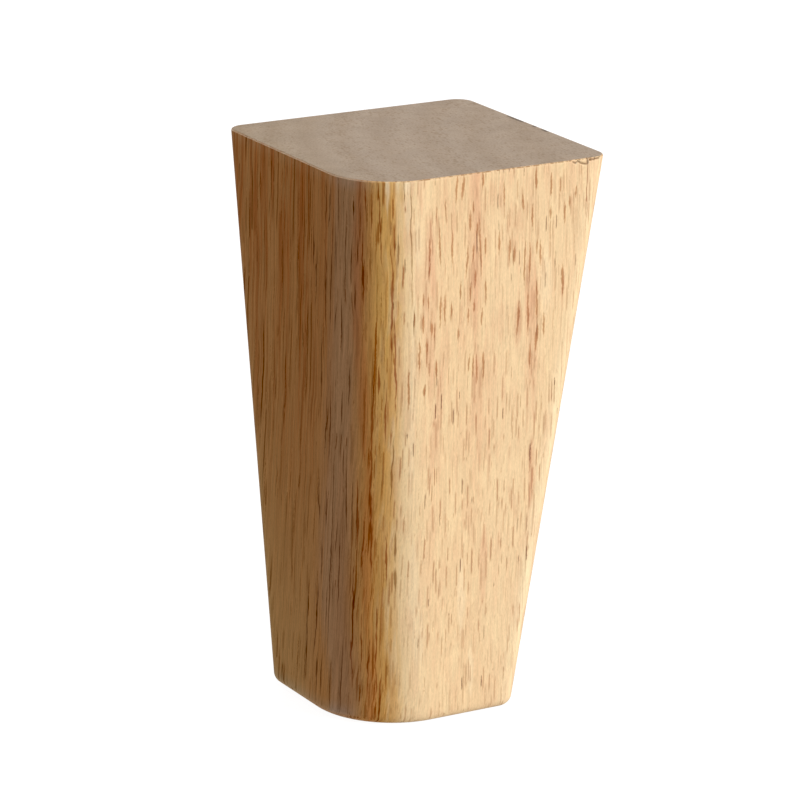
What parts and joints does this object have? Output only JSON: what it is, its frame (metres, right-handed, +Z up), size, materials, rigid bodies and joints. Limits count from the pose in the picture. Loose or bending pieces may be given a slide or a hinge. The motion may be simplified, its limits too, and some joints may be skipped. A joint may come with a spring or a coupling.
{
  "type": "tapered wooden furniture leg",
  "caption": "Short solid-wood furniture leg with a square seat, upright outward faces that meet at a large rounded corner, and inward faces that taper to a smaller foot.",
  "frame": {"origin": "middle of the square seat, dropped straight down to the floor that the foot stands on", "axes": "+Z up from the foot to the seat; the two upright outward faces look along -X and -Y, and the large rounded corner stands between them"},
  "size_m": [0.0599, 0.0599, 0.12],
  "materials": {
    "wood": "pale straight-grained hardwood with short brown pore dashes, clear satin lacquer on the long faces, dull sawn end grain"
  },
  "bodies": {
    "root": {"leg": "wood"}
  },
  "joints": []
}
